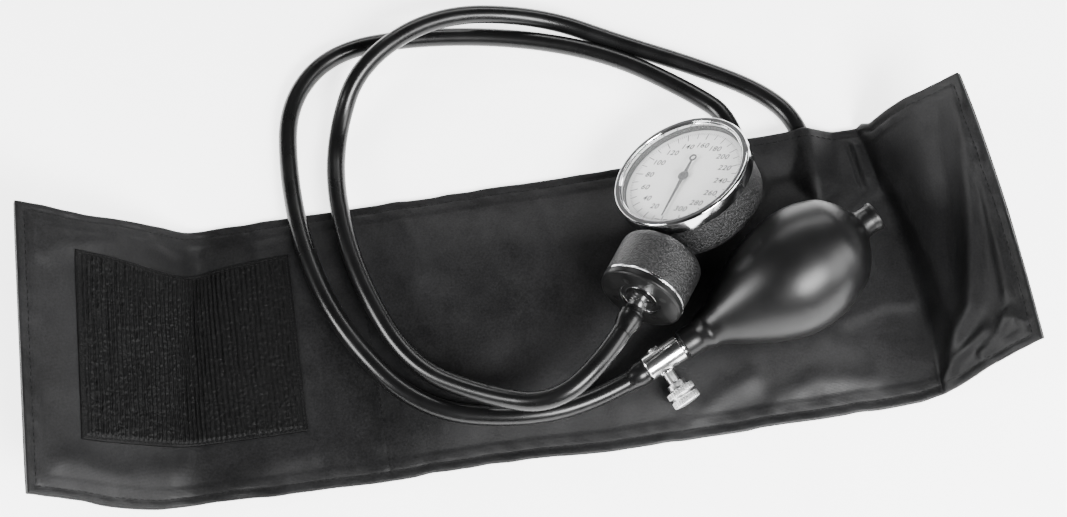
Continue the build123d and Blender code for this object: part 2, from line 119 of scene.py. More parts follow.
def make_studio():
    """Four softboxes, a dim world that is darkest overhead, and a white floor that glows."""
    area_light("softbox_front", (0.32, -0.74, 0.84), (0.09, 0, 0.02), (0.5, 0.38), 46)
    area_light("softbox_left", (-0.7, -0.04, 0.3), (-0.14, 0, 0), (0.22, 0.36), 9)
    area_light("softbox_right", (0.72, -0.3, 0.5), (-0.2, 0, 0), (0.5, 0.5), 10)
    area_light("softbox_back", (0.2, 0.95, 0.6), (0.05, 0, 0.02), (1.1, 0.2), 8)
    world = bpy.data.worlds.new("studio")
    world.use_nodes = True
    tree = world.node_tree
    direction = tree.nodes.new("ShaderNodeTexCoord")
    parts = tree.nodes.new("ShaderNodeSeparateXYZ")
    ramp = tree.nodes.new("ShaderNodeValToRGB")
    set_ramp(ramp, (0.1, (1, 1, 1)), (0.75, (0.1, 0.1, 0.1)))
    tree.links.new(direction.outputs["Generated"], parts.inputs["Vector"])
    tree.links.new(parts.outputs["Z"], ramp.inputs["Fac"])
    tree.links.new(ramp.outputs["Color"], tree.nodes["Background"].inputs["Color"])
    tree.nodes["Background"].inputs["Strength"].default_value = 0.2
    bpy.context.scene.world = world
    mesh = bpy.data.meshes.new("floor")
    reach = 3.0
    mesh.from_pydata([(-reach, -reach, 0), (reach, -reach, 0), (reach, reach, 0), (-reach, reach, 0)], [],
                     [(0, 1, 2, 3)])
    floor = bpy.data.objects.new("floor", mesh)
    floor.location.z = -0.0004
    add_to_scene(floor)
    paint = Paint("floor_light_table", (0.93, 0.93, 0.93), roughness=0.75, Emission_Strength=2.6)
    paint.shader.inputs["Emission Color"].default_value = (1, 1, 1, 1)
    paint.colour_range(paint.noise(scale=40, detail=2), (0.92, 0.92, 0.92), (0.95, 0.95, 0.95))
    mesh.materials.append(paint.material)


# ---------- materials

class Paint:
    """A principled material whose colour, roughness and bump come from procedural nodes."""

    def __init__(self, name, colour, roughness=0.5, metallic=0.0, **sockets):
        self.material = bpy.data.materials.new(name)
        self.material.use_nodes = True
        self.tree = self.material.node_tree
        self.shader = self.tree.nodes["Principled BSDF"]
        self.shader.inputs["Base Color"].default_value = (*colour, 1)
        self.shader.inputs["Roughness"].default_value = roughness
        self.shader.inputs["Metallic"].default_value = metallic
        for socket, value in sockets.items():
            self.shader.inputs[socket.replace("_", " ")].default_value = value
        self.material.diffuse_color = (*colour, 1)

    def node(self, kind, **values):
        made = self.tree.nodes.new(kind)
        for key, value in values.items():
            if hasattr(made, key):
                setattr(made, key, value)
            else:
                made.inputs[key.replace("_", " ")].default_value = value
        return made

    def link(self, source, target):
        self.tree.links.new(source, target)

    def place(self, stretch=(1, 1, 1), space="Object"):
        """Coordinates in the object's own space, in metres, stretched by a factor on each axis."""
        coordinates = self.node("ShaderNodeTexCoord")
        mapping = self.node("ShaderNodeMapping")
        mapping.inputs["Scale"].default_value = stretch
        self.link(coordinates.outputs[space], mapping.inputs["Vector"])
        return mapping.outputs["Vector"]

    def noise(self, scale, detail=3.0, rough=0.5, stretch=(1, 1, 1), space="Object"):
        made = self.node("ShaderNodeTexNoise", Scale=scale, Detail=detail, Roughness=rough)
        self.link(self.place(stretch, space), made.inputs["Vector"])
        return made.outputs["Fac"]

    def wave(self, scale, direction, space="UV", distortion=0.0):
        made = self.node("ShaderNodeTexWave", Scale=scale, Distortion=distortion)
        made.bands_direction = direction
        self.link(self.place(space=space), made.inputs["Vector"])
        return made.outputs["Fac"]

    def combine(self, first, second, operation="MULTIPLY"):
        made = self.node("ShaderNodeMath", operation=operation)
        self.link(first, made.inputs[0])
        if isinstance(second, float):
            made.inputs[1].default_value = second
        else:
            self.link(second, made.inputs[1])
        return made.outputs[0]

    def spread(self, value, low, high, start=0.3, end=0.7):
        """Maps a texture onto a range of numbers."""
        made = self.node("ShaderNodeMapRange", From_Min=start, From_Max=end, To_Min=low, To_Max=high)
        self.link(value, made.inputs["Value"])
        return made.outputs["Result"]

    def colour_range(self, value, dark, light, start=0.3, end=0.7):
        ramp = self.node("ShaderNodeValToRGB")
        set_ramp(ramp, (start, dark), (end, light))
        self.link(value, ramp.inputs["Fac"])
        self.link(ramp.outputs["Color"], self.shader.inputs["Base Color"])

    def roughness_range(self, value, low, high):
        self.link(self.spread(value, low, high), self.shader.inputs["Roughness"])

    def bump(self, value, height, strength=1.0):
        """Bump of a height in metres, added to any bump already there."""
        made = self.node("ShaderNodeBump", Strength=strength, Distance=height)
        self.link(value, made.inputs["Height"])
        normal = self.shader.inputs["Normal"]
        if normal.is_linked:
            self.link(normal.links[0].from_socket, made.inputs["Normal"])
        self.link(made.outputs["Normal"], normal)


def speckled(name, colour, roughness, noise, dark, light, rough=None, bump=None, span=(0.3, 0.7), **sockets):
    """One noise texture behind the colour and, where they are given, the roughness and the bump."""
    paint = Paint(name, colour, roughness=roughness, **sockets)
    texture = paint.noise(**noise)
    paint.colour_range(texture, dark, light, *span)
    if rough:
        paint.roughness_range(texture, *rough)
    if bump:
        paint.bump(texture, *bump)
    return paint.material


def cloth_paint():
    """Fine plain weave in black nylon, unevenly worn."""
    paint = Paint("nylon_weave", (0.008, 0.008, 0.0085), roughness=0.5, Specular_IOR_Level=0.2)
    weave = paint.combine(paint.wave(520, "X"), paint.wave(520, "Y"))
    patches = paint.noise(18, detail=4)
    grain = paint.combine(paint.combine(patches, paint.noise(1000, detail=2, rough=0.7), "ADD"), 0.5)
    paint.colour_range(grain, (0.0013, 0.0013, 0.0014), (0.009, 0.009, 0.0094), 0.38, 0.64)
    paint.roughness_range(paint.noise(90, detail=3), 0.42, 0.56)
    paint.bump(weave, 0.00006, 0.6)
    paint.bump(paint.noise(900, detail=2), 0.00008, 0.5)
    return paint.material


def rubber_paint(name, rough_low, rough_high, colour):
    """Moulded rubber with faint flow marks and an uneven shine."""
    paint = Paint(name, colour, roughness=rough_low, Specular_IOR_Level=0.3)
    cloud = paint.noise(35, detail=5)
    paint.colour_range(cloud, tuple(0.8 * c for c in colour), tuple(1.3 * c for c in colour))
    paint.roughness_range(paint.noise(70, detail=4), rough_low, rough_high)
    paint.bump(paint.noise(1400, detail=2), 0.00001, 0.3)
    return paint.material


def enamel_paint():
    paint = Paint("black_enamel", (0.005, 0.005, 0.005), roughness=0.34, Specular_IOR_Level=0.16)
    cloud = paint.noise(120, detail=3)
    paint.colour_range(cloud, (0.003, 0.003, 0.003), (0.007, 0.007, 0.007))
    paint.roughness_range(cloud, 0.32, 0.4)
    paint.bump(paint.noise(900, detail=2), 0.00002, 0.4)
    return paint.material


def chrome_paint(name="bright_chrome", rough=(0.05, 0.11), colour=(0.86, 0.86, 0.87)):
    """Plated metal with faint handling smears."""
    paint = Paint(name, colour, roughness=rough[0], metallic=1.0)
    smear = paint.noise(160, detail=4, stretch=(1, 2, 1))
    paint.colour_range(smear, tuple(0.94 * c for c in colour), colour)
    paint.roughness_range(smear, *rough)
    paint.bump(paint.noise(400, detail=2), 0.00001, 0.3)
    return paint.material


def metal_paint(name, colour, rough):
    """Turned or pressed metal with fine machining marks."""
    return speckled(name, colour, rough, {"scale": 700, "detail": 3, "stretch": (1, 6, 1)},
                    tuple(0.8 * c for c in colour), colour, (rough * 0.8, rough * 1.3), (0.00002, 0.4),
                    metallic=1.0)


make_camera()
make_studio()

CLOTH = cloth_paint()
HOOK = speckled("hook_tape", (0.002, 0.002, 0.002), 0.5, {"scale": 1500, "detail": 2, "space": "UV"},
                (0.0005, 0.0005, 0.0005), (0.0035, 0.0035, 0.0036), bump=(0.0003, 0.9),
                Specular_IOR_Level=0.1)
LOOP = speckled("loop_tape", (0.02, 0.02, 0.02), 0.9, {"scale": 1200, "detail": 4},
                (0.012, 0.012, 0.012), (0.035, 0.035, 0.036), bump=(0.0004, 0.8), Sheen_Weight=0.5)
THREAD = speckled("sewing_thread", (0.02, 0.02, 0.021), 0.55,
                  {"scale": 2500, "detail": 1, "stretch": (1, 1, 3)},
                  (0.002, 0.002, 0.002), (0.007, 0.007, 0.0072), bump=(0.0001, 0.7),
                  Specular_IOR_Level=0.1)
HOSE = rubber_paint("hose_rubber", 0.25, 0.32, (0.0025, 0.0025, 0.0026))
BULB = rubber_paint("bulb_rubber", 0.34, 0.39, (0.0025, 0.0025, 0.0026))
BLADDER = rubber_paint("bladder_rubber", 0.5, 0.6, (0.03, 0.03, 0.03))
GASKET = rubber_paint("gasket_rubber", 0.5, 0.6, (0.02, 0.02, 0.02))
WRINKLE = speckled("wrinkle_lacquer", (0.006, 0.006, 0.0062), 0.42,
                   {"scale": 1250, "detail": 2, "rough": 0.6},
                   (0.0004, 0.0004, 0.0004), (0.018, 0.018, 0.0185), (0.35, 0.55), (0.0005, 1.0),
                   span=(0.46, 0.62), Specular_IOR_Level=0.4)
ENAMEL = enamel_paint()
CHROME = chrome_paint()
NICKEL = chrome_paint("satin_nickel", (0.15, 0.22), (0.93, 0.93, 0.93))
KNURLED = chrome_paint("knurled_nickel", (0.28, 0.36), (0.95, 0.95, 0.95))
BLACKED = metal_paint("blacked_steel", (0.06, 0.06, 0.06), 0.35)
BRASS = metal_paint("machined_brass", (0.72, 0.54, 0.26), 0.25)
STEEL = metal_paint("turned_steel", (0.6, 0.6, 0.62), 0.25)
BRONZE = metal_paint("spring_bronze", (0.7, 0.5, 0.32), 0.3)
GLASS = speckled("dial_glass", (0.97, 0.98, 0.98), 0.02, {"scale": 60, "detail": 3},
                 (0.93, 0.95, 0.95), (0.98, 0.99, 0.99), (0.01, 0.04), Alpha=0.05, IOR=1.5)
DIAL = speckled("dial_white", (0.88, 0.88, 0.86), 0.4, {"scale": 90, "detail": 3},
                (0.92, 0.92, 0.91), (0.95, 0.95, 0.945), (0.36, 0.48))
INK = speckled("scale_ink", (0.01, 0.01, 0.011), 0.5, {"scale": 900, "detail": 2},
               (0.003, 0.003, 0.0032), (0.007, 0.007, 0.0074))
POINTER = speckled("pointer_lacquer", (0.03, 0.03, 0.032), 0.4, {"scale": 500, "detail": 2},
                   (0.02, 0.02, 0.022), (0.045, 0.045, 0.048))
SLOT_MATERIALS = {
    "cuff_cloth": CLOTH, "hook_tape": HOOK, "loop_tape": LOOP, "bladder_rubber": BLADDER,
    "hose_rubber": HOSE, "bulb_rubber": BULB, "wrinkle_paint": WRINKLE, "cap_black": ENAMEL,
    "chrome": CHROME, "glass": GLASS, "gasket_rubber": GASKET, "dial_enamel": DIAL,
    "pointer_paint": POINTER, "brass": BRASS, "steel": STEEL, "capsule_bronze": BRONZE,
}

OWN_MATERIALS = {"cap_screws": BLACKED, "hose_nipple": NICKEL, "nipple_nut": ENAMEL,
                 "nipple_washer": ENAMEL}


def paint_cad_nodes():
    """Gives every CAD node the procedural material of its slot."""
    slots = {part["node"]: part["material_slot"] for part in frame["record"]["subparts"]}
    for name, node in frame["nodes"].items():
        node.data.materials.clear()
        node.data.materials.append(OWN_MATERIALS.get(name, SLOT_MATERIALS[slots[name]]))


paint_cad_nodes()


# ---------- hoses

# Millimetres from here on
port_z = 6.7
port_x = (115.0, 146.5)
hose_socket_y = 60.0
hose_r = 4.5
hose_start = 69.0
valve_left = -19.5
gauge_hose_out = (drum_centre + six * hose_start * MM) / MM
bulb_hose_out = (bulb_mouth + bulb_axis * valve_left * MM) / MM
gauge_hose_run = [
    tuple(gauge_hose_out), tuple(gauge_hose_out + six * 22), (4, -56, 38), (-26, -42, 24),
    (-57, -20, 14.5), (-75, 25, 14), (-81, 70, 11), (-77, 107, 5), (-61, 134.5, 22.7), (-20, 156, 22.7),
    (31, 155, 8), (69, 134.5, 4.7), (100, 118, 4.7), (132, 98, 4.7), (port_x[1], 77, port_z),
    (port_x[1], hose_socket_y, port_z),
]
bulb_hose_run = [
    tuple(bulb_hose_out), tuple(bulb_hose_out - bulb_axis * 20), (-5, -53, 13.8), (-55, -42, 13.8),
    (-86, 2, 12.5), (-99, 45, 9.5), (-102.5, 89, 5), (-98.5, 128, 4.7), (-74, 153, 4.7), (-30, 154.5, 4.7),
    (20, 146, 4.7), (63, 129.5, 4.7), (98, 103, 4.7), (port_x[0], 84, port_z),
    (port_x[0], hose_socket_y, port_z),
]


def make_hose(name, points):
    """Smooth spline along the hose's route."""
    data = bpy.data.curves.new(name + "_rubber", "CURVE")
    data.dimensions = "3D"
    data.bevel_depth = hose_r * MM
    data.bevel_resolution = 10
    data.resolution_u = 24
    data.use_fill_caps = True
    spline = data.splines.new("NURBS")
    spline.points.add(len(points) - 1)
    for point, place in zip(spline.points, points):
        point.co = (*(value * MM for value in place), 1)
    spline.order_u = 3
    spline.use_endpoint_u = True
    hose = bpy.data.objects.new(name + "_rubber", data)
    add_to_scene(hose)
    data.materials.append(HOSE)
    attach(hose, ROOT)
    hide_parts(name)
    return hose


gauge_hose = make_hose("gauge_hose", gauge_hose_run)
bulb_hose = make_hose("bulb_hose", bulb_hose_run)


# ---------- mesh helpers

def new_piece(name, vertices, faces, material, smooth=True, body=ROOT):
    """A mesh object from points in millimetres, riding on a body."""
    mesh = bpy.data.meshes.new(name)
    mesh.from_pydata([tuple(point) for point in np.asarray(vertices) * MM], [], faces)
    mesh.update()
    if smooth:
        mesh.polygons.foreach_set("use_smooth", [True] * len(mesh.polygons))
    mesh.materials.append(material)
    piece = bpy.data.objects.new(name, mesh)
    add_to_scene(piece)
    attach(piece, body)
    return piece


def grid_slab(name, top, bottom, material, uv=None):
    """Closed slab between two grids of points, joined round their edge."""
    rows, columns = top.shape[:2]
    count = rows * columns
    index = np.arange(count).reshape(rows, columns)
    faces = []
    upper = np.stack([index[:-1, :-1], index[1:, :-1], index[1:, 1:], index[:-1, 1:]], axis=-1)
    faces += upper.reshape(-1, 4).tolist()
    faces += (upper.reshape(-1, 4)[:, ::-1] + count).tolist()
    rim = (index[0, :].tolist() + index[1:, -1].tolist() + index[-1, -2::-1].tolist()
           + index[-2:0:-1, 0].tolist())
    for here, after in zip(rim, rim[1:] + rim[:1]):
        faces.append([here, after, after + count, here + count])
    points = np.concatenate([top.reshape(-1, 3), bottom.reshape(-1, 3)])
    piece = new_piece(name, points, faces, material)
    if uv is not None:
        flat = np.concatenate([np.stack(uv, axis=-1).reshape(-1, 2)] * 2) * MM
        loops = np.empty(len(piece.data.loops), dtype=np.int64)
        piece.data.loops.foreach_get("vertex_index", loops)
        layer = piece.data.uv_layers.new(name="UVMap")
        layer.data.foreach_set("uv", flat[loops].ravel())
    return piece


def smooth_step(value):
    value = np.clip(value, 0, 1)
    return value * value * (3 - 2 * value)


def lattice_noise(x, y, seed):
    """Smooth noise between -1 and 1 with features one unit across."""
    table = np.random.RandomState(seed).rand(64, 64) * 2 - 1
    x0 = np.floor(x).astype(int)
    y0 = np.floor(y).astype(int)
    fx = smooth_step(x - x0)
    fy = smooth_step(y - y0)
    corner = [[table[(x0 + i) % 64, (y0 + j) % 64] for j in (0, 1)] for i in (0, 1)]
    low = corner[0][0] * (1 - fx) + corner[1][0] * fx
    high = corner[0][1] * (1 - fx) + corner[1][1] * fx
    return low * (1 - fy) + high * fy


# ---------- cuff

cuff_half = 68.0
flat_start = -157.7
flat_end = 175.5
left_length = 85.5
right_length = 70.4
cuff_u = (flat_start - left_length, flat_end + right_length)
section_step = 0.5
panel_t = 1.1
bladder_u = (-72.0, 166.0)
bladder_half = 57.0
stitch_inset = 4.0
edge_height = 2.35
pad_height = 5.0
hem_width = 9.5
hem_height = 0.28
bridge_height = 11.0
sleeve_height = 12.9
seam_u = -75.0
loop_u = (40.5, 165.0)
loop_y = (-54.5, 55.0)


def heading(u, y):
    """Angle of the cuff's section above level. Both ends curl up, not quite alike at front and rear."""
    rear = (y + cuff_half) / (2 * cuff_half)
    left_reach = -150 + 12 * rear - u
    left = smooth_step(left_reach / (34 - 12 * rear))
    along = np.clip(left_reach / left_length, 0, 1)
    left_angle = (39 + 17 * rear) + (5 - 27 * rear) * smooth_step(along)
    right_reach = u - (flat_end + 6 - 9 * rear)
    right = smooth_step(right_reach / (7 + 9 * (1 - (2 * rear - 1) ** 2)))
    along = np.clip(right_reach / right_length, 0, 1)
    right_angle = (64 + 10 * rear) - (16 + 8 * rear) * smooth_step(along * 1.2)
    return np.radians(right * right_angle - left * left_angle)


class Section:
    """Underside of the bent cuff: tables of place and angle over the flat cuff."""

    def __init__(self):
        self.u = np.arange(cuff_u[0] - 2, cuff_u[1] + 2.5, section_step)
        self.y = np.linspace(-cuff_half, cuff_half, 35)
        u, y = np.meshgrid(self.u, self.y, indexing="ij")
        angle = heading(u, y)
        middle = np.searchsorted(self.u, 0.0)
        run = np.cumsum(np.cos(angle) * section_step, axis=0)
        rise = np.cumsum(np.sin(angle) * section_step, axis=0)
        self.angle = angle
        self.x = run - run[middle] + self.u[middle]
        self.z = rise - rise[middle]

    def read(self, table, u, y):
        """Value of a table at any place of the flat cuff, from the four entries round it."""
        a = np.clip((u - self.u[0]) / section_step, 0, len(self.u) - 1.001)
        b = np.clip((y - self.y[0]) / (self.y[1] - self.y[0]), 0, len(self.y) - 1.001)
        i = a.astype(int)
        j = b.astype(int)
        a -= i
        b -= j
        low = table[i, j] * (1 - a) + table[i + 1, j] * a
        high = table[i, j + 1] * (1 - a) + table[i + 1, j + 1] * a
        return low * (1 - b) + high * b

    def point(self, u, y, height):
        """Point of the cuff at a height above its underside, in millimetres."""
        angle = self.read(self.angle, u, y)
        x = self.read(self.x, u, y) - np.sin(angle) * height
        z = self.read(self.z, u, y) + np.cos(angle) * height
        return np.stack([x, y + edge_wave(u, y), z], axis=-1)


SECTION = Section()


def edge_wave(u, y):
    """Shift across the cuff that makes its long edges uneven, as sewn cloth is."""
    side = np.abs(y) / cuff_half
    front = np.clip(-y / cuff_half, 0, 1)
    shift = front ** 2 * (1.2 * smooth_step((-60 - u) / 60) + 3.0 * smooth_step((-195 - u) / 45)
                          - 1.6 * smooth_step((u + 40) / 60) * smooth_step((186 - u) / 14)
                          + 5.0 * smooth_step((u - 190) / 45))
    back = np.clip(y / cuff_half, 0, 1)
    shift += back ** 2 * 3.4 * smooth_step((u - 85) / 40) * smooth_step((190 - u) / 9)
    shift -= back ** 2 * 3.2 * smooth_step((-140 - u) / 25) * smooth_step((u + 236) / 25)
    shift -= back ** 2 * 2.5 * smooth_step((u - 200) / 45)
    slow = 0.9 * lattice_noise(u / 38, np.sign(y) * 3 + 9, 5)
    quick = 0.35 * lattice_noise(u / 9, 2 + 0 * u, 6)
    return shift + side ** 3 * (slow + quick)


def fold(u, y, route, width, height):
    """Ridge or valley of rounded section along a route of (u, y) points, fading at its ends."""
    best = np.full(u.shape, 1e9)
    fade = np.zeros(u.shape)
    spans = [math.dist(a, b) for a, b in zip(route, route[1:])]
    total = sum(spans)
    done = 0.0
    for (u0, y0), (u1, y1), span in zip(route, route[1:], spans):
        t = np.clip(((u - u0) * (u1 - u0) + (y - y0) * (y1 - y0)) / span ** 2, 0, 1)
        gap = np.hypot(u - u0 - t * (u1 - u0), y - y0 - t * (y1 - y0))
        place = (done + t * span) / total
        nearer = gap < best
        best = np.where(nearer, gap, best)
        fade = np.where(nearer, np.minimum(smooth_step(place / 0.15), smooth_step((1 - place) / 0.15)), fade)
        done += span
    return height * fade * np.exp(-(best / width) ** 2)


# Route of (u, y) points, half width and height of each fold
folds = [
    ([(243, 64), (238, 34), (229, 0), (217, -36), (186, -67)], 5.0, 2.6),
    ([(247, 34), (241, 16), (238, -4), (236, -34), (234, -50)], 3.2, 1.7),
    ([(234, -48), (226, -56), (212, -62)], 3.5, 1.3),
    ([(232, -46), (238, -54), (243, -58)], 3.0, 1.3),
    ([(228, 66), (222, 30), (214, -5), (205, -40)], 6.0, -1.5),
    ([(184, 60), (196, 20), (204, -20), (206, -62)], 5.0, 1.0),
    ([(186, -66), (200, -58), (226, -50)], 3.0, 1.8),
    ([(150, 20), (168, 34), (190, 40)], 4.0, 0.9),
    ([(140, -28), (165, -20), (186, -22)], 4.5, 1.0),
    ([(100, -58), (128, -52), (160, -56)], 5.0, 1.0),
    ([(60, -62), (84, -52), (104, -44)], 5.0, 0.9),
    ([(12, 66), (18, 40), (20, 8)], 3.5, 0.55),
    ([(-52, 62), (-46, 40), (-44, 20)], 3.5, 0.45),
    ([(-100, 64), (-106, 56), (-126, 52)], 5.0, 1.0),
    ([(-236, -50), (-200, -56), (-160, -52)], 7.0, 1.3),
    ([(-238, 40), (-222, 52), (-190, 58)], 6.0, 1.1),
    ([(-150, -66), (-130, -54), (-100, -50)], 7.0, 1.4),
    ([(-180, 66), (-160, 56), (-146, 52)], 5.0, -0.8),
    ([(30, -30), (60, -12), (84, -16)], 8.0, -0.6),
]


def at_least(height, floor):
    """The greater of two surfaces, with a soft valley where they meet."""
    return height + 0.5 * (floor - height + np.sqrt((floor - height) ** 2 + 1.2))


def cuff_top(u, y):
    """Height of the cuff's upper surface above its underside."""
    edge = np.minimum(np.minimum(u - cuff_u[0], cuff_u[1] - u), cuff_half - np.abs(y))
    pad = smooth_step((u - bladder_u[0]) / 40) * smooth_step((bladder_u[1] + 2 - u) / 34)
    pad = pad * smooth_step((bladder_half + 8 - np.abs(y)) / 36)
    height = edge_height + 1.3 * smooth_step(edge / 22) + pad_height * pad
    soft = smooth_step(edge / 14)
    height += soft * (0.55 * lattice_noise(u / 46, y / 34, 1) + 0.32 * lattice_noise(u / 19, y / 27, 2))
    height += 0.12 * lattice_noise(u / 7, y / 8, 3) * smooth_step(edge / 5)
    for route, width, size in folds:
        height += fold(u, y, route, width, size) * smooth_step((edge + 1) / 4)
    height += hem_height * smooth_step((hem_width - edge) / 1.6)
    tuck = u - 169.5 - 0.08 * (61 - y)
    length = smooth_step((y - 35) / 9) * smooth_step((63 - y) / 4)
    height += length * (1.9 * smooth_step((tuck + 0.7) / 1.4) * np.exp(-(tuck / 9) ** 2)
                        - 1.3 * np.exp(-((tuck + 0.9) / 1.0) ** 2))
    pucker = np.sin((u + y) / 1.9 + 2 * lattice_noise(u / 13, y / 13, 4))
    height += 0.13 * pucker * np.exp(-((edge - stitch_inset) / 2.6) ** 2)
    height -= 0.42 * np.exp(-((edge - stitch_inset) / 0.6) ** 2)
    seam = u - (seam_u + 0.02 * (68 - y))
    height -= 0.4 * smooth_step((30 - y) / 60) * np.exp(-(seam / 0.8) ** 2) * smooth_step(edge / 3)
    height += 0.08 * np.sin(y / 1.7 + 3 * lattice_noise(u / 9, y / 20, 7)) * np.exp(-(seam / 4.5) ** 2)
    bridge = bridge_height * smooth_step((u - 98) / 14) * smooth_step((164 - u) / 16)
    bridge = bridge * smooth_step((y - 24) / 40)
    height = at_least(height, bridge)
    for x in port_x:
        gap = np.abs(u - x)
        sleeve = sleeve_height - 0.7 * np.maximum(gap - 3.0, 0) - 0.12 * np.minimum(gap, 3.0) ** 2
        sleeve = sleeve - 12 * (1 - smooth_step((y - 16) / 31))
        height = at_least(height, sleeve)
    return np.maximum(height, 2.25) - 0.5 * (1 - smooth_step(edge / 0.7))


def cuff_slab(name, u, y, top, low, material):
    """Slab between two heights above the cuff's underside."""
    return grid_slab(name, SECTION.point(u, y, top), SECTION.point(u, y, low), material, (u, y))


def lines(low, high, spacing, fine):
    """Grid lines at an even spacing, with closer ones at both edges."""
    even = np.linspace(low + fine[-1], high - fine[-1], int((high - low) / spacing))
    return np.concatenate([[low + gap for gap in fine[:-1]], even, [high - gap for gap in fine[-2::-1]]])


def make_cuff():
    """Top and back cloth as two thin slabs, and the loop tape let into the back."""
    fine = (0.0, 0.2, 0.5, 0.9)
    u, y = np.meshgrid(lines(*cuff_u, 1.05, fine), lines(-cuff_half, cuff_half, 0.95, fine), indexing="ij")
    height = cuff_top(u, y)
    under = np.maximum(height - panel_t, panel_t + 0.05)
    outer = cuff_slab("cuff_top_cloth", u, y, height, under, CLOTH)
    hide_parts("cuff_outer_panel")

    u, y = np.meshgrid(lines(*cuff_u, 2.4, fine), lines(-cuff_half, cuff_half, 2.4, fine), indexing="ij")
    inset = 1 - 0.35 / cuff_half
    y = y * inset
    edge = cuff_half * inset - np.abs(y)
    lift = 0.25 * (1 + lattice_noise(u / 25, y / 25, 8)) * smooth_step((np.abs(u) - 158) / 6)
    recess = (u > loop_u[0] - 1.5) & (u < loop_u[1] + 1) & (np.abs(y) < loop_y[1] + 1)
    low = np.where(recess, 0.75, 0.0) + lift + 0.3 * (1 - smooth_step(edge / 0.6))
    inner = cuff_slab("cuff_back_cloth", u, y, panel_t - 0.02, low, CLOTH)
    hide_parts("cuff_inner_panel")

    u, y = np.meshgrid(np.arange(*loop_u, 1.0), np.arange(*loop_y, 1.0), indexing="ij")
    nap = 0.12 * lattice_noise(u / 1.6, y / 1.6, 9) + 0.1
    loop = cuff_slab("loop_tape", u, y, 0.7, np.maximum(nap, 0), LOOP)
    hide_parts("loop_patch")


# ---------- hook patch

hook_u = (-217.2, -107.0)
hook_y = (-40.0, 48.0)
rib_pitch = 2.35


def patch_edge(u, y):
    """Distance in from the patch's slightly uneven outline."""
    left = u - hook_u[0] - 0.5 * lattice_noise(y / 16, 0 * y + 2, 11)
    right = hook_u[1] - u - 0.6 * lattice_noise(y / 14, 0 * y + 5, 12)
    return np.minimum(np.minimum(left, right), np.minimum(y - hook_y[0], hook_y[1] - y))


def patch_top(u, y):
    """Height of the patch's ribs of hooks, uneven where they are matted down."""
    sway = 0.5 * lattice_noise(y / 30, u / 60, 13) + 0.25 * lattice_noise(y / 9, u / 5, 14)
    phase = (u + sway) / rib_pitch
    rib = np.abs(np.cos(math.pi * phase)) ** 0.7
    strength = 0.62 + 0.3 * lattice_noise(np.floor(phase + 0.5) * 1.7, y / 22, 15)
    tufts = 0.22 * lattice_noise(u / 0.7, y / 0.75, 16) + 0.12 * lattice_noise(u / 1.3, y / 0.9, 17)
    edge = patch_edge(u, y)
    body = smooth_step((edge - 1.6) / 1.4)
    return 0.95 + body * (1.25 * rib * strength + tufts) - 0.35 * (1 - smooth_step(edge / 0.5))


def patch_point(u, y):
    """Points on the patch's hooks and under it. It is sewn on with its rear edge bowed forwards."""
    relief = patch_top(u, y)
    y = y - 4.6 * np.exp(-((u + 166) / 30) ** 2) * smooth_step((y - hook_y[0]) / 88)
    ground = cuff_top(u, y)
    return SECTION.point(u, y, ground + relief), SECTION.point(u, y, ground - 0.1)


def make_hook_patch():
    u, y = np.meshgrid(np.linspace(*hook_u, 360), np.linspace(*hook_y, 190), indexing="ij")
    upper, lower = patch_point(u, y)
    outer = grid_slab("hook_tape", upper, lower, HOOK, (u, y))
    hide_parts("hook_patch")


# ---------- stitching

def stitches(name, routes, length, gap, radius, place, material):
    """Threads laid along routes of (u, y) points on the cuff, one short rounded stitch after another."""
    vertices = []
    faces = []
    sides = 6
    profile = [(-1.0, 0.25), (-0.6, 0.85), (0.0, 1.0), (0.6, 0.85), (1.0, 0.25)]
    for route in routes:
        for (u0, y0), (u1, y1) in zip(route, route[1:]):
            span = math.dist((u0, y0), (u1, y1))
            for number in range(int(span / (length + gap))):
                t = (number + 0.5) * (length + gap) / span
                half = 0.5 * length / span
                ends = np.array([t - half, t + half])
                u = u0 + ends * (u1 - u0)
                y = y0 + ends * (y1 - y0)
                points = place(u, y)
                middle = Vector(points.mean(axis=0))
                along = Vector(points[1] - points[0])
                reach = along.length / 2
                along.normalize()
                side = along.cross(Vector((0, 0, 1))).normalized()
                up = side.cross(along)
                first = len(vertices)
                for reached, size in profile:
                    for turn in range(sides):
                        angle = 2 * math.pi * turn / sides
                        arm = side * math.cos(angle) + up * math.sin(angle)
                        vertices.append(middle + along * (reach * reached) + arm * (radius * size))
                for band in range(len(profile) - 1):
                    for turn in range(sides):
                        a = first + band * sides + turn
                        b = first + band * sides + (turn + 1) % sides
                        faces.append([a, b, b + sides, a + sides])
                faces.append([first + turn for turn in range(sides)][::-1])
                last = first + (len(profile) - 1) * sides
                faces.append([last + turn for turn in range(sides)])
    return new_piece(name, [tuple(v) for v in vertices], faces, material)


def inset_loop(u_range, y_range, inset):
    """Closed route a little way inside a rectangle."""
    (u0, u1), (y0, y1) = u_range, y_range
    u0, u1, y0, y1 = u0 + inset, u1 - inset, y0 + inset, y1 - inset
    return [(u0, y0), (u1, y0), (u1, y1), (u0, y1), (u0, y0)]


def make_stitching():
    """Stitches round the hem, down the seam beside the bladder, and round the hook patch."""
    hem = [inset_loop(cuff_u, (-cuff_half, cuff_half), stitch_inset)]
    hem.append([(seam_u, cuff_half - stitch_inset), (seam_u + 2.7, -cuff_half + stitch_inset)])
    stitches("hem_stitching", hem, 2.3, 0.8, 0.24,
             lambda u, y: SECTION.point(u, y, cuff_top(u, y) + 0.05), THREAD)
    tape = [inset_loop(hook_u, hook_y, 1.1)]
    stitches("tape_stitching", tape, 1.6, 0.5, 0.26, lambda u, y: patch_point(u, y)[0], THREAD)


make_cuff()
make_hook_patch()
make_stitching()


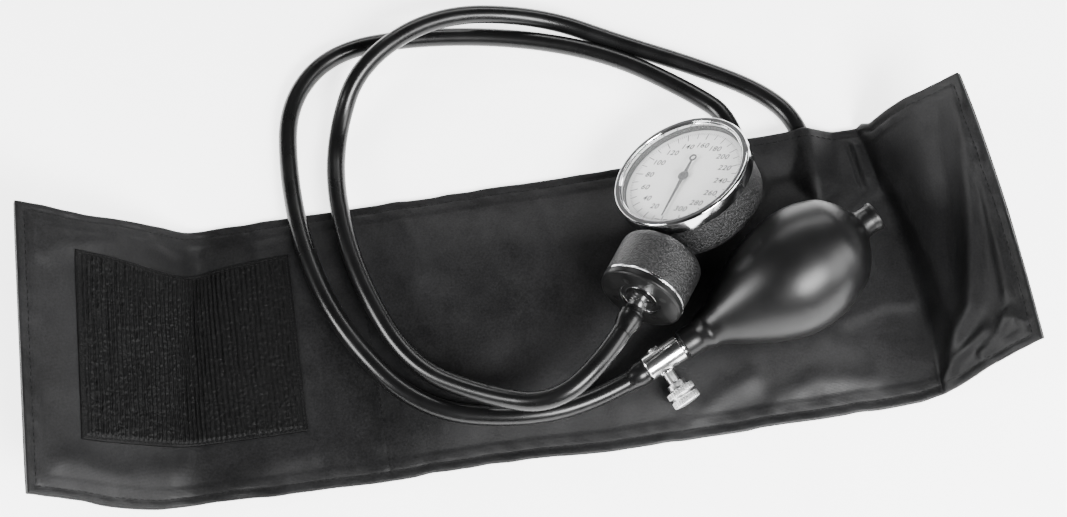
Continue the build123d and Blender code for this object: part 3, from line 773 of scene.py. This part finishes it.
# ---------- turned pieces

def grain(points, size, seed):
    """Smooth noise between -1 and 1 at points in space, with features about one size across."""
    table = np.random.RandomState(seed).rand(48, 48, 48) * 2 - 1
    low = np.floor(points / size).astype(int)
    part = smooth_step(points / size - low)
    total = np.zeros(len(points))
    for corner in range(8):
        step = np.array([corner & 1, (corner >> 1) & 1, corner >> 2])
        weight = np.prod(np.where(step, part, 1 - part), axis=1)
        cell = (low + step) % 48
        total += weight * table[cell[:, 0], cell[:, 1], cell[:, 2]]
    return total


def rounded(corners, segments=5):
    """Profile of (radius, height) points from corners of (radius, height, fillet radius)."""
    points = []
    for number, (r, z, fillet) in enumerate(corners):
        here = Vector((r, z))
        if fillet == 0 or number in (0, len(corners) - 1):
            points.append(here)
            continue
        before = Vector(corners[number - 1][:2]) - here
        after = Vector(corners[number + 1][:2]) - here
        reach = min(fillet / math.tan(before.angle(after) / 2), 0.49 * before.length, 0.49 * after.length)
        start = here + before.normalized() * reach
        end = here + after.normalized() * reach
        for step in range(segments + 1):
            t = step / segments
            points.append(start * (1 - t) ** 2 + here * (2 * t * (1 - t)) + end * t ** 2)
    return [tuple(point) for point in points]


def spaced(profile, pitch):
    """Profile with its long runs divided so that no step is longer than the pitch."""
    points = [profile[0]]
    for (r0, z0), (r1, z1) in zip(profile, profile[1:]):
        count = max(1, math.ceil(math.dist((r0, z0), (r1, z1)) / pitch))
        points += [(r0 + (r1 - r0) * k / count, z0 + (z1 - z0) * k / count) for k in range(1, count + 1)]
    return points


def to_world(points, matrix):
    """Points of a local frame, in the scene's own axes. Both are in millimetres."""
    return points @ np.array(matrix.to_3x3()).T + np.array(matrix.translation) / MM


def lathe(name, profile, matrix, material, sides=128, body=ROOT, shape=None, closed=False):
    """Surface turned about local Z. shape changes the points, given angle, radius and height arrays."""
    profile = np.array(profile)
    angle = np.linspace(0, 2 * math.pi, sides, endpoint=False)
    turn, radius = np.meshgrid(angle, profile[:, 0])
    height = np.meshgrid(angle, profile[:, 1])[1]
    if shape is not None:
        radius, height = shape(turn, radius, height)
    points = np.stack([radius * np.cos(turn), radius * np.sin(turn), height], axis=-1)
    poles = [] if closed else [end for end in (0, len(profile) - 1) if profile[end, 0] < 1e-6]
    faces = []
    index = np.arange(len(profile) * sides).reshape(len(profile), sides)
    for pole in poles:
        index[pole, :] = index[pole, 0]
    bands = list(zip(index, index[1:])) + ([(index[-1], index[0])] if closed else [])
    for here, after in bands:
        for k in range(sides):
            face = [here[k], here[(k + 1) % sides], after[(k + 1) % sides], after[k]]
            faces.append([int(v) for v in dict.fromkeys(face)])
    flat = points.reshape(-1, 3)
    used = np.unique(index)
    number = np.zeros(len(flat), dtype=int)
    number[used] = np.arange(len(used))
    faces = [[int(number[v]) for v in face] for face in faces if len(face) > 2]
    return new_piece(name, to_world(flat[used], matrix), faces, material, body=body)


def crinkle(piece, matrix, low, high, depth=0.07, size=1.1):
    """Pushes a turned piece's skin in and out by a wrinkle texture, between two local heights."""
    mesh = piece.data
    normals = np.empty(len(mesh.vertices) * 3)
    mesh.vertices.foreach_get("normal", normals)
    places = np.empty(len(mesh.vertices) * 3)
    mesh.vertices.foreach_get("co", places)
    local = (places.reshape(-1, 3) - np.array(matrix.translation)) @ np.array(matrix.to_3x3()) / MM
    ridge = 1 - 2 * np.abs(grain(local, size, 21)) + 0.5 * grain(local, size * 0.45, 22)
    band = (local[:, 2] > low) & (local[:, 2] < high)
    push = np.where(band, ridge * depth * MM, 0)
    mesh.vertices.foreach_set("co", places + normals * np.repeat(push, 3))
    mesh.update()


# ---------- gauge

# Heights along Z of gauge_frame or drum_frame
case_r = 31.3
case_back = -21.5
case_front = 1.9
case_wall = 1.8
bezel_r = 33.3
bezel_back = -1.8
bezel_front = 5.2
glass_r = 29.6
glass_top = 4.5
glass_under = 2.2
drum_r = 19.5
drum_wall = 1.8
neck_r = 8.0
neck_start = 29.6
drum_start = 34.5
drum_end = 57.0
band_end = 58.2
band_r = drum_r + 0.35
cap_recess_floor = 60.35


def wrinkled_shell(name, stands_for, corners, matrix, sides, low, high):
    """Hollow turned shell with a wrinkled skin between two heights."""
    skin = spaced(rounded(corners, 12), 0.55)
    shell = lathe(name, skin, matrix, WRINKLE, sides)
    crinkle(shell, matrix, low, high)
    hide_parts(stands_for)


def make_cases():
    """Dial case and drum."""
    inner_r = case_r - case_wall
    corners = [(0, case_back, 0), (case_r, case_back, 5.2), (case_r, case_front, 0.2),
               (inner_r, case_front, 0.2), (inner_r, case_back + 2, 1), (0, case_back + 2, 0)]
    wrinkled_shell("dial_case", "dial_housing", corners, gauge_frame, 340, case_back - 0.1, bezel_back + 0.3)
    inner_r = drum_r - drum_wall
    corners = [(0, neck_start, 0), (neck_r, neck_start, 0.5), (neck_r, drum_start, 1.2),
               (drum_r, drum_start, 5.5), (drum_r, drum_end, 0.2), (inner_r, drum_end, 0.2),
               (inner_r, 43, 1), (0, 43, 0)]
    wrinkled_shell("drum_case", "drum_housing", corners, drum_frame, 220, neck_start + 0.4, drum_end - 0.1)


def make_bezel():
    """Polished front ring with a stepped inner lip."""
    lip_r = glass_r + 0.3
    corners = [(case_r + 0.1, bezel_back, 0), (bezel_r - 0.1, bezel_back, 0.35), (bezel_r, 1.5, 0.4),
               (bezel_r, bezel_front - 0.9, 0.9), (bezel_r - 0.7, bezel_front - 0.05, 0.5),
               (lip_r + 0.6, bezel_front, 0.35), (lip_r + 0.45, glass_top + 0.25, 0.15),
               (lip_r, glass_top + 0.25, 0.15), (glass_r, glass_top, 0.1), (glass_r, glass_under, 0.1),
               (case_r - 0.05, glass_under, 0.1)]
    bezel = lathe("bezel_ring", rounded(corners, 6), gauge_frame, CHROME, 192, closed=True)
    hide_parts("bezel")


def make_drum_band():
    """Chrome band of two beads round the drum, and two thin rims in the cap's recess."""
    inner_r = drum_r - 1
    groove_r = drum_r + 0.1
    middle = (drum_end + band_end) / 2 + 0.3
    corners = [(inner_r, drum_end + 0.05, 0), (groove_r, drum_end + 0.05, 0.1),
               (band_r, drum_end + 0.25, 0.1), (band_r, middle - 0.15, 0.08),
               (groove_r, middle - 0.05, 0.05), (groove_r, middle + 0.05, 0.05),
               (band_r, middle + 0.15, 0.08), (band_r - 0.05, band_end, 0.05), (inner_r, band_end, 0)]
    band = lathe("drum_band", rounded(corners, 4), drum_frame, CHROME, 160, closed=True)
    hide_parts("drum_ring")
    for name, inner, outer, rise in (("recess_rim", 9.5, 10.15, 0.4), ("nut_rim", 7.2, 7.6, 0.25)):
        top = cap_recess_floor + rise
        corners = [(inner, cap_recess_floor, 0), (inner, top, 0.1), (outer, top, 0.1),
                   (outer, cap_recess_floor, 0)]
        lathe(name, rounded(corners, 3), drum_frame, CHROME, 96, closed=True)


def as_mesh(source, name):
    """Mesh copy of a curve or text object, which is then removed."""
    bpy.context.view_layer.update()
    mesh = bpy.data.meshes.new_from_object(source.evaluated_get(bpy.context.evaluated_depsgraph_get()))
    mesh.name = name
    bpy.data.objects.remove(source)
    return mesh


scale_top = 300
scale_sweep = 340.0
numeral_step = 20
numeral_r = 19.7
numeral_size = 4.1
mark_end_r = 27.3


def scale_angle(value):
    """Angle of a scale value, clockwise from six o'clock."""
    return math.radians(value * scale_sweep / scale_top)


def numeral(value):
    """Vertices and faces of an upright numeral at its place on the scale."""
    text = bpy.data.curves.new("numeral", "FONT")
    text.body = str(value)
    text.size = numeral_size
    text.shear = 0.18
    text.align_x = text.align_y = "CENTER"
    text.space_character = 1.12
    text.extrude = 0.02
    text.offset = 0.045
    holder = bpy.data.objects.new("numeral", text)
    add_to_scene(holder)
    mesh = as_mesh(holder, "numeral")
    x = -numeral_r * math.sin(scale_angle(value))
    y = -numeral_r * math.cos(scale_angle(value))
    vertices = [(v.co.x + x, v.co.y + y, v.co.z + 0.045) for v in mesh.vertices]
    faces = [list(polygon.vertices) for polygon in mesh.polygons]
    bpy.data.meshes.remove(mesh)
    return vertices, faces


def bar(angle, inner, outer, width):
    """Vertices and faces of a thin flat mark along a radius."""
    along = Vector((-math.sin(angle), -math.cos(angle), 0))
    side = Vector((along.y, -along.x, 0)) * (width / 2)
    vertices = []
    for height in (0.005, 0.06):
        for radius, hand in ((inner, 1), (outer, 1), (outer, -1), (inner, -1)):
            vertices.append(tuple(along * radius + side * hand + Vector((0, 0, height))))
    faces = [[3, 2, 1, 0], [4, 5, 6, 7], [0, 1, 5, 4], [1, 2, 6, 5], [2, 3, 7, 6], [3, 0, 4, 7]]
    return vertices, faces


def make_dial_print():
    """Numerals every 20, marks every 10, fine marks every 2 and two zero bars, as thin ink."""
    marks = [numeral(value) for value in range(numeral_step, scale_top + 1, numeral_step)]
    for value in range(0, scale_top + 1, 10):
        long = value % numeral_step == 0
        marks.append(bar(scale_angle(value), 23.4 if long else 24.0, mark_end_r, 0.36 if long else 0.3))
    for value in range(0, scale_top, 2):
        if value % 10:
            marks.append(bar(scale_angle(value), 26.3, mark_end_r, 0.12))
    for x in (-2.4, 2.4):
        marks.append(bar(math.atan2(-x, 25.4), 25.3, 25.7, 3.0))
    vertices = []
    faces = []
    for corners, polygons in marks:
        first = len(vertices)
        vertices += corners
        faces += [[first + corner for corner in polygon] for polygon in polygons]
    points = to_world(np.array(vertices), gauge_frame)
    new_piece("dial_print", points, faces, INK, smooth=False)


def make_pointer_cap():
    """Small turned cap over the pointer's hub."""
    base = 1.45
    corners = [(0, base, 0), (2.3, base, 0.1), (2.3, 1.7, 0.2), (1.5, 1.9, 0.2), (1.2, 2.3, 0.4), (0, 2.4, 0)]
    cap = lathe("pointer_cap", rounded(corners, 4), gauge_frame, POINTER, 48, body="pointer")
    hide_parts("pointer_hub")


# ---------- bulb, valve and knob

def smooth_profile(points, count):
    """Smooth curve through (height, radius) points, as (radius, height) at even heights."""
    heights, radii = np.array(points, float).T
    slopes = np.gradient(radii, heights)
    z = np.linspace(heights[0], heights[-1], count)
    k = np.clip(np.searchsorted(heights, z, side="right") - 1, 0, len(heights) - 2)
    span = heights[k + 1] - heights[k]
    t = (z - heights[k]) / span
    r = ((2 * t ** 3 - 3 * t ** 2 + 1) * radii[k] + (t ** 3 - 2 * t ** 2 + t) * span * slopes[k]
         + (3 * t ** 2 - 2 * t ** 3) * radii[k + 1] + (t ** 3 - t ** 2) * span * slopes[k + 1])
    return list(zip(r, z))


# Height from the mouth and radius, up to the waist before the nub
bulb_outline = [
    (6.5, 6.95), (8.5, 7.2), (10.5, 8.1), (12.2, 8.7), (14, 8.9), (17, 10.2), (23, 13.9), (30, 17.9),
    (38, 22.0), (47, 25.6), (56, 27.7), (64, 28.0), (72, 27.1), (80, 24.6), (87, 20.8), (91, 16.6),
    (93.6, 12.8), (95.2, 9.6), (96.4, 7.4), (97.4, 6.5),
]


def make_bulb():
    """Moulded rubber bulb with two faint seams, a slight dent and a little sag."""
    neck_start = 12
    length = 98
    seam_height = 0.14
    sag_depth = 1.6
    neck = rounded([(4.5, 6, 0), (4.5, 0.2, 0.4), (6.9, 0.2, 0.9), (7.0, 4, 2), (6.95, 6, 0)], 6)
    body = smooth_profile(bulb_outline, 160)
    nub = rounded([(6.3, 98.5, 0), (6.2, 101.6, 1), (6.7, 104.0, 0.9), (6.6, 105.4, 0.9), (4.6, 105.4, 0.6),
                   (4.2, 102, 0.3), (0, 102, 0)], 5)

    def moulded(turn, radius, height):
        seam = np.abs(np.sin(turn)) * radius
        reach = smooth_step((height - neck_start) / 8)
        radius = radius + seam_height * reach * np.exp(-(seam / 0.45) ** 2)
        dent = np.cos(turn - 0.9) * np.sin(height / 19)
        sag = sag_depth * np.cos(turn) * np.sin(math.pi * np.clip(height / length, 0, 1)) ** 2
        return radius * (1 + 0.006 * reach * dent) + sag, height

    bulb = lathe("squeeze_bulb", neck + body + nub, bulb_frame, BULB, 180, shape=moulded)
    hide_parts("bulb_shell")


def make_valve():
    """Plated barrel with a boss on its far side and a raised ring where the screw goes in."""
    corners = [(0, -20.6, 0), (4.9, -20.6, 0.2), (4.9, -19.6, 0.1), (5.75, valve_left, 0.3),
               (6.0, -19.1, 0.4), (6.0, -1.5, 0.4), (5.6, -1.0, 0.2), (4.3, -0.9, 0.1), (4.3, 6, 0),
               (0, 6, 0)]
    body = lathe("valve_barrel", rounded(corners, 5), bulb_frame, NICKEL, 96)
    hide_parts("valve_body", "bulb_connector")
    boss_frame = screw_frame @ Matrix.Rotation(math.pi, 4, "X")
    corners = [(0, 5.2, 0), (2.7, 5.2, 0.1), (2.7, 6.5, 0.25), (1.7, 6.7, 0.2), (1.5, 6.4, 0.1), (0, 6.4, 0)]
    lathe("valve_boss", rounded(corners, 3), boss_frame, NICKEL, 48)
    corners = [(2.65, 5.0, 0), (3.7, 5.0, 0), (3.7, 6.3, 0.25), (2.65, 6.3, 0.1)]
    lathe("screw_boss", rounded(corners, 3), screw_frame, NICKEL, 48, closed=True)


def make_knob():
    """Release screw's shank and its head of two knurled discs."""
    teeth = 28
    tooth_depth = 0.32
    root_r = 5.9

    def knurl(turn, radius, height):
        side = smooth_step((radius - root_r) / 0.5)
        groove = np.clip(np.cos(teeth * turn), 0, 1) ** 0.7
        return radius - tooth_depth * side * groove, height

    shank = [(0, 3.6, 0), (2.6, 3.6, 0.2), (2.6, 11.6, 0.1), (2.3, 11.8, 0.1), (2.3, 12.0, 0.05),
             (4.25, 12.0, 0.4), (4.25, 14.6, 0.3), (3.9, 15.0, 0.1)]
    discs = [(root_r, 15.0, 0.05), (6.7, 15.35, 0.15), (6.7, 17.75, 0.15), (root_r, 18.1, 0.05),
             (5.4, 18.1, 0.1), (5.4, 19.3, 0.1), (root_r, 19.3, 0.05), (6.6, 19.65, 0.15), (6.6, 22.3, 0.15),
             (root_r, 22.7, 0.05), (5.2, 22.8, 0.3), (3.0, 23.2, 1), (0, 23.35, 0)]
    knob = lathe("knurled_knob", rounded(shank + discs, 3), screw_frame, KNURLED, teeth * 10,
                 body="release_screw", shape=knurl)
    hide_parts("release_knob", "release_screw")


def make_hose_collars():
    """Hoses swell where they are pushed over their barbs."""
    swell = smooth_profile([(0, 4.6), (0.3, 5.15), (2, 5.6), (4, 5.75), (6, 5.5), (8.5, 4.85), (10.5, 4.52),
                            (12, 4.4)], 40)
    swell = [(4.2, 0)] + swell
    valve_end = plane_matrix(Vector(bulb_hose_out) * MM, knob_axis, -bulb_axis)
    valve_swell = lathe("valve_hose_swell", swell, valve_end, HOSE, 96)
    drum_end = plane_matrix(Vector(gauge_hose_out) * MM, three, six)
    drum_swell = lathe("drum_hose_swell", swell, drum_end, HOSE, 96)


def make_bladder():
    """Nearly empty rubber bag between the panels, with a port for each hose."""
    low_u, high_u = bladder_u[0] + 2, bladder_u[1] - 2
    bag_half = bladder_half - 2
    corner = 14.0
    thinnest = 0.3
    u = np.linspace(low_u, high_u, 150)[:, None] + np.zeros(80)[None, :]
    near = np.minimum(u - low_u, high_u - u)
    half = bag_half - corner + np.sqrt(np.maximum(corner ** 2 - np.maximum(corner - near, 0) ** 2, 0))
    y = half * np.linspace(-1, 1, 80)[None, :]
    inset = smooth_step(np.minimum(near, half - np.abs(y)) / 4)
    top = np.minimum(cuff_top(u, y) - panel_t - 0.3, 8.5)
    low = panel_t + 0.15
    top = low + thinnest + (np.maximum(top - low, 2 * thinnest) - thinnest) * inset
    bag = cuff_slab("bladder_bag", u, y, top, low, BLADDER)
    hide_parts("bladder")
    corners = [(4.6, 0, 0), (5.4, 0, 0.3), (5.4, 8, 1), (4.6, 13, 2), (0, 14, 0), (0, 5, 0), (4.6, 5, 0.2)]
    for number, x in enumerate(port_x):
        mouth = Vector((x, hose_socket_y + 2, port_z)) * MM
        port_frame = plane_matrix(mouth, Vector((1, 0, 0)), Vector((0, -1, 0)))
        lathe(f"bladder_port_{number + 1}", rounded(corners, 4), port_frame, BLADDER, 64,
              closed=True)


make_cases()
make_bezel()
make_drum_band()
make_dial_print()
make_pointer_cap()
make_bulb()
make_valve()
make_knob()
make_hose_collars()
make_bladder()
